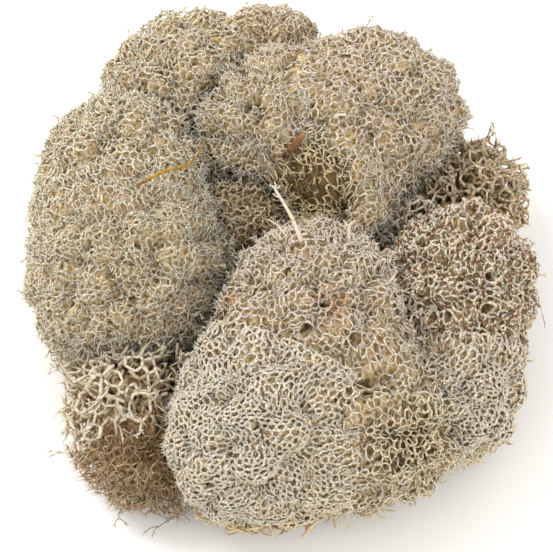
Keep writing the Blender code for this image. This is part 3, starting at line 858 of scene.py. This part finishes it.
def mat_piece(rng):
    """The mat of dead stems: a low dome over a shallow bowl with a flat foot, and a tangle of old stems."""
    growth = Growth()
    way = spiral(MAT_POINTS, 0.0)
    height = np.where(way[:, 2] > 0.0, MAT_TOP - MAT_MIDDLE, MAT_MIDDLE - GROUND_CLEARANCE)
    wide = np.linalg.norm(way[:, :2], axis=1)
    distance = 1.0 / np.sqrt((wide / MAT_RADIUS) ** 2 + (way[:, 2] / height) ** 2)
    foot = (way[:, 2] < 0.0) & (wide * MAT_MIDDLE < FOOT_RADIUS * np.abs(way[:, 2]))
    distance = np.where(foot, MAT_MIDDLE / np.maximum(np.abs(way[:, 2]), 1e-6), distance)
    distance *= np.where(foot, 1.0, 1.0 - np.abs(rng.normal(0.0, MAT_ROUGH, len(way))))
    places = way * distance[:, None] + (0.0, 0.0, MAT_MIDDLE)
    growth.add(places, hull_faces(way), 0.7 + rng.normal(0.0, 0.1, len(way)), rng.random(len(way)))
    chosen = rng.choice(np.flatnonzero(~foot & (way[:, 2] < 0.35) & (wide > 0.4)), OLD_STEMS)
    start = places[chosen]
    out = unit(start * (1.0, 1.0, 0.0))
    sideways = np.cross(out, (0.0, 0.0, 1.0)) * rng.choice((-1.0, 1.0), OLD_STEMS)[:, None]
    outwards = out * rng.uniform(-0.2, 0.6, OLD_STEMS)[:, None]
    lean = unit(sideways + outwards + rng.normal(0.0, 0.15, out.shape))
    end = start + lean * rng.uniform(*OLD_STEM_LENGTHS, OLD_STEMS)[:, None]
    shrink = np.minimum(1.0, MAT_REACH / np.linalg.norm(end[:, :2], axis=1))
    end[:, :2] *= shrink[:, None]
    end[:, 2] = np.clip(end[:, 2], GROUND_CLEARANCE, MAT_TOP)
    size = rng.uniform(*OLD_STEM_RADII, OLD_STEMS)
    ages = rng.uniform(0.1, 0.8, OLD_STEMS), rng.uniform(0.0, 0.5, OLD_STEMS)
    growth.add(*tubes(start, end, unit(lean + 0.4 * out), unit(lean - 0.4 * out), (size, size * 0.6), ages,
                      rng.random(OLD_STEMS), rng, 4, 4, 0.035))
    return growth


def stalk_piece(rng):
    """The dry stalk: a thin uneven strand along its route, brown at its foot, with stubs of side stalks."""
    growth = Growth()
    route = np.array(STALK_ROUTE)
    for first, last, radii, ages in STALK_PARTS:
        strand(growth, route[first:last], radii, ages, rng)
    for index, side in STALK_STUBS:
        root = route[index] + (route[index + 1] - route[index]) * 0.5
        points = [root, root + np.array(side) * 0.6, root + np.array(side) * 1.3]
        strand(growth, points, (0.20, 0.08), (0.4, 0.9), rng)
    return growth


def flake_piece(head_centre):
    """The bark flake: a thin bowed lens with ragged ends, facing away from the head below.

    Its half width is a rounded sine of the way along, its bow a sine, and it thins towards its edges.
    """
    start, end = (np.array(place) for place in FLAKE_ENDS)
    along = end - start
    facing = (start + end) / 2.0 - np.array(head_centre)
    facing = unit(facing - along * (facing @ along) / (along @ along))
    across = unit(np.cross(along, facing))
    rows, columns = FLAKE_GRID
    share = np.linspace(0.0, 1.0, rows)[:, None]
    width = np.linspace(-1.0, 1.0, columns)[None, :]
    half = FLAKE_WIDTH / 2.0 * (0.22 + 0.78 * np.sin(math.pi * share) ** 0.7)
    half = half * (1.0 + 0.06 * np.sin(23.0 * share + 2.0 * width))
    lift = FLAKE_BOW * np.sin(math.pi * share) - 0.25 * width**2 + 0.05 * np.sin(9.0 * width + 3.0 * share)
    thick = FLAKE_THICKNESS / 2.0 * (1.0 - 0.75 * width**2)
    layers = []
    for face in (1.0, -1.0):
        height = lift + face * thick
        flat = start + share[..., None] * along + (half * width)[..., None] * across
        layers.append((flat + height[..., None] * facing).reshape(-1, 3))
    vertices = np.concatenate(layers)
    row, column = np.meshgrid(np.arange(rows - 1), np.arange(columns - 1), indexing="ij")
    corner = (row * columns + column).ravel()
    top = np.concatenate([np.stack([corner, corner + columns, corner + columns + 1], axis=1),
                          np.stack([corner, corner + columns + 1, corner + 1], axis=1)])
    below = top[:, ::-1] + rows * columns
    loop = np.concatenate([np.arange(columns), columns * np.arange(1, rows) + columns - 1,
                           np.arange(rows * columns - 2, (rows - 1) * columns - 1, -1),
                           columns * np.arange(rows - 2, 0, -1)])
    after = np.roll(loop, -1)
    wall = np.concatenate([np.stack([loop, after, after + rows * columns], axis=1),
                           np.stack([loop, after + rows * columns, loop + rows * columns], axis=1)])
    ages = 0.75 - 0.7 * np.broadcast_to(share + 0.15 * width, (rows, columns)).ravel()
    growth = Growth()
    growth.add(vertices, np.concatenate([top, below, wall]), np.tile(ages, 2), np.full(len(vertices), 0.5))
    return growth


def colour_group():
    """Lichen colours from the growth attribute: pale tips, tan forks, brown depths, with uneven tints.
    Painted shade darkens the sides of twigs facing down, the depths in part, the pits of the net painted on
    the old middles, and the places and holes given the most age.
    """
    group = bpy.data.node_groups.new("lichen_colour", "ShaderNodeTree")
    face = group.interface
    for name in ("Tip", "Pink tip", "Fork", "Depth", "Pit", "Stain"):
        face.new_socket(name, in_out="INPUT", socket_type="NodeSocketColor")
    face.new_socket("Patch scale", in_out="INPUT", socket_type="NodeSocketFloat")
    face.new_socket("Color", in_out="OUTPUT", socket_type="NodeSocketColor")
    face.new_socket("Height", in_out="OUTPUT", socket_type="NodeSocketFloat")
    nodes, links = group.nodes, group.links
    enter = nodes.new("NodeGroupInput").outputs
    leave = nodes.new("NodeGroupOutput").inputs
    growth = nodes.new("ShaderNodeAttribute")
    growth.attribute_name = "growth"
    split = nodes.new("ShaderNodeSeparateColor")
    links.new(growth.outputs["Color"], split.inputs["Color"])
    age, shade, stain = (split.outputs[channel] for channel in ("Red", "Green", "Blue"))
    place = nodes.new("ShaderNodeTexCoord")

    def ranged(value, start, end, smooth=False):
        """A value taken from one range to another."""
        span = nodes.new("ShaderNodeMapRange")
        span.interpolation_type = "SMOOTHSTEP" if smooth else "LINEAR"
        for name, limit in zip(("From Min", "From Max", "To Min", "To Max"), (*start, *end)):
            span.inputs[name].default_value = limit
        links.new(value, span.inputs["Value"])
        return span.outputs["Result"]

    def blend(limits, first, second, value):
        """Colour from first to second as the value goes from the low to the high limit."""
        mix = nodes.new("ShaderNodeMix")
        mix.data_type = "RGBA"
        links.new(ranged(value, limits, (0.0, 1.0), True), mix.inputs["Factor"])
        links.new(first, mix.inputs[6])
        links.new(second, mix.inputs[7])
        return mix.outputs[2]

    def product_sum(value, factor, added):
        """A value times a factor, and another added."""
        total = nodes.new("ShaderNodeMath")
        total.operation = "MULTIPLY_ADD"
        total.inputs[1].default_value = factor
        links.new(value, total.inputs[0])
        links.new(added, total.inputs[2])
        return total.outputs[0]

    def noise(detail):
        made = nodes.new("ShaderNodeTexNoise")
        made.inputs["Detail"].default_value = detail
        links.new(place.outputs["Object"], made.inputs["Vector"])
        return made

    patches = noise(3.0)
    links.new(enter["Patch scale"], patches.inputs["Scale"])
    grain = noise(2.0)
    grain.inputs["Scale"].default_value = GRAIN_SCALE
    cells = nodes.new("ShaderNodeTexVoronoi")
    cells.feature = "DISTANCE_TO_EDGE"
    cells.inputs["Scale"].default_value = PAINTED_SCALE
    links.new(place.outputs["Object"], cells.inputs["Vector"])
    # Painted shade and light: twigs facing down are given more age, and so darker, golden colours, and twigs
    # facing up less, and so paler ones
    upright = nodes.new("ShaderNodeSeparateXYZ")
    links.new(place.outputs["Normal"], upright.inputs["Vector"])
    facing_shaded_age = nodes.new("ShaderNodeMath")
    links.new(ranged(upright.outputs["Z"], (-1.0, 1.0), FACING_SHADE), facing_shaded_age.inputs[0])
    links.new(age, facing_shaded_age.inputs[1])
    shaded_patched_age = product_sum(patches.outputs["Fac"], PATCH_AGE, facing_shaded_age.outputs[0])
    fresh = blend((0.0, 1.0), enter["Tip"], enter["Pink tip"], growth.outputs["Alpha"])
    upper = blend(FORK_AGES, fresh, enter["Fork"], shaded_patched_age)
    whole = blend(DEPTH_AGES, upper, enter["Depth"], shaded_patched_age)
    # The painted net's pits and the oldest ages take the pit colour, which is painted shade
    walled = blend(PAINTED_WALLS, enter["Fork"], enter["Depth"], cells.outputs["Distance"])
    pitted = blend(PAINTED_PITS, walled, enter["Pit"], cells.outputs["Distance"])
    netted = blend(NETTED_AGES, whole, pitted, age)
    stained = blend((0.0, 1.0), netted, enter["Stain"], stain)
    shadow = blend(SHADOW_AGES, stained, enter["Pit"], age)
    tone = nodes.new("ShaderNodeHueSaturation")
    links.new(ranged(shade, (0.0, 1.0), TWIG_SHADES), tone.inputs["Value"])
    links.new(shadow, tone.inputs["Color"])
    links.new(tone.outputs["Color"], leave["Color"])
    height = nodes.new("ShaderNodeMix")
    links.new(ranged(age, NETTED_AGES, (0.0, 1.0)), height.inputs["Factor"])
    links.new(grain.outputs["Fac"], height.inputs[2])
    links.new(product_sum(cells.outputs["Distance"], PAINTED_RELIEF, grain.outputs["Fac"]), height.inputs[3])
    links.new(height.outputs[0], leave["Height"])
    return group


def lichen(finish, group):
    """The matt dry lichen material of a finish."""
    tip, pink, fork, depth, stain, scale = FINISHES[finish]
    made = bpy.data.materials.new(f"lichen_{finish}")
    made.use_nodes = True
    nodes, links = made.node_tree.nodes, made.node_tree.links
    shader = nodes["Principled BSDF"]
    colours = nodes.new("ShaderNodeGroup")
    colours.node_tree = group
    pit = tuple(PIT_SHARE * value for value in depth)
    names = ("Tip", "Pink tip", "Fork", "Depth", "Pit", "Stain")
    for name, colour in zip(names, (tip, pink, fork, depth, pit, stain)):
        colours.inputs[name].default_value = (*colour, 1.0)
    colours.inputs["Patch scale"].default_value = scale
    links.new(colours.outputs["Color"], shader.inputs["Base Color"])
    bump = nodes.new("ShaderNodeBump")
    bump.inputs["Strength"].default_value = BUMP_STRENGTH
    bump.inputs["Distance"].default_value = BUMP_HEIGHT * MM
    links.new(colours.outputs["Height"], bump.inputs["Height"])
    links.new(bump.outputs["Normal"], shader.inputs["Normal"])
    for name, value in (("Roughness", ROUGHNESS), ("Specular IOR Level", SPECULAR),
                        ("Subsurface Weight", SCATTER_SHARE), ("Subsurface Radius", SCATTER_TINT),
                        ("Subsurface Scale", SCATTER_DEPTH * MM)):
        shader.inputs[name].default_value = value
    return made


def studio():
    """Pale floor, soft light from behind and to the left with a weak front fill, and the camera."""
    scene = bpy.context.scene
    world = bpy.data.worlds.new("studio")
    scene.world = world
    world.use_nodes = True
    sky = world.node_tree.nodes["Background"].inputs
    sky["Color"].default_value = SKY
    sky["Strength"].default_value = SKY_STRENGTH
    mesh = bpy.data.meshes.new("floor")
    corners = [(x * FLOOR_HALF, y * FLOOR_HALF, 0.0) for x, y in ((-1, -1), (1, -1), (1, 1), (-1, 1))]
    mesh.from_pydata(corners, [], [(0, 1, 2, 3)])
    floor = bpy.data.objects.new("floor", mesh)
    scene.collection.objects.link(floor)
    paper = bpy.data.materials.new("floor_paper")
    paper.use_nodes = True
    matt = paper.node_tree.nodes["Principled BSDF"].inputs
    matt["Base Color"].default_value = FLOOR_PAPER
    matt["Roughness"].default_value = FLOOR_ROUGHNESS
    mesh.materials.append(paper)
    for name, place, size, power in LIGHTS:
        light = bpy.data.lights.new(name, "AREA")
        light.energy = power
        light.size = size
        lamp = bpy.data.objects.new(name, light)
        lamp.location = place
        lamp.rotation_euler = (LIT_PLACE - Vector(place)).to_track_quat("-Z", "Y").to_euler()
        scene.collection.objects.link(lamp)
    lens = bpy.data.cameras.new("camera")
    lens.sensor_width = SENSOR
    lens.lens = PIXELS_PER_MM * DISTANCE / PICTURE_WIDTH * SENSOR
    lens.clip_start = 0.01
    camera = bpy.data.objects.new("camera", lens)
    away = Vector((0.0, -math.cos(ELEVATION), math.sin(ELEVATION))) * DISTANCE
    camera.location = (TARGET + away) * MM
    camera.rotation_euler = (-away).to_track_quat("-Z", "Y").to_euler()
    scene.collection.objects.link(camera)
    scene.camera = camera
    scene.view_settings.view_transform = "Standard"


def place(piece, node, slot, material):
    """Gives a piece its material, and puts it in the frame in place of its solid."""
    piece.data.materials.append(material)
    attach(piece, "root")
    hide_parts(node)


def main():
    studio()
    group = colour_group()
    materials = {finish: lichen(finish, group) for finish in FINISHES}
    for name in HEADS:
        room = Room(name)
        piece = grow_head(room).piece(f"{name}_twigs", stains_of(name))
        place(piece, name, SLOTS[room.finish], materials.get(room.finish, materials["fresh"]))
    rng = np.random.default_rng(SEED)
    place(mat_piece(rng).piece("dead_stem_tangle"), "dead_stem_mat", "stem_mat", materials["dead"])
    place(stalk_piece(rng).piece("dry_stalk"), "amber_stalk", "stalk_amber", materials["amber"])
    flake = flake_piece(HEADS["head_back_centre"][0]).piece("bark_chip")
    place(flake, "bark_flake", "bark", materials["bark"])


main()
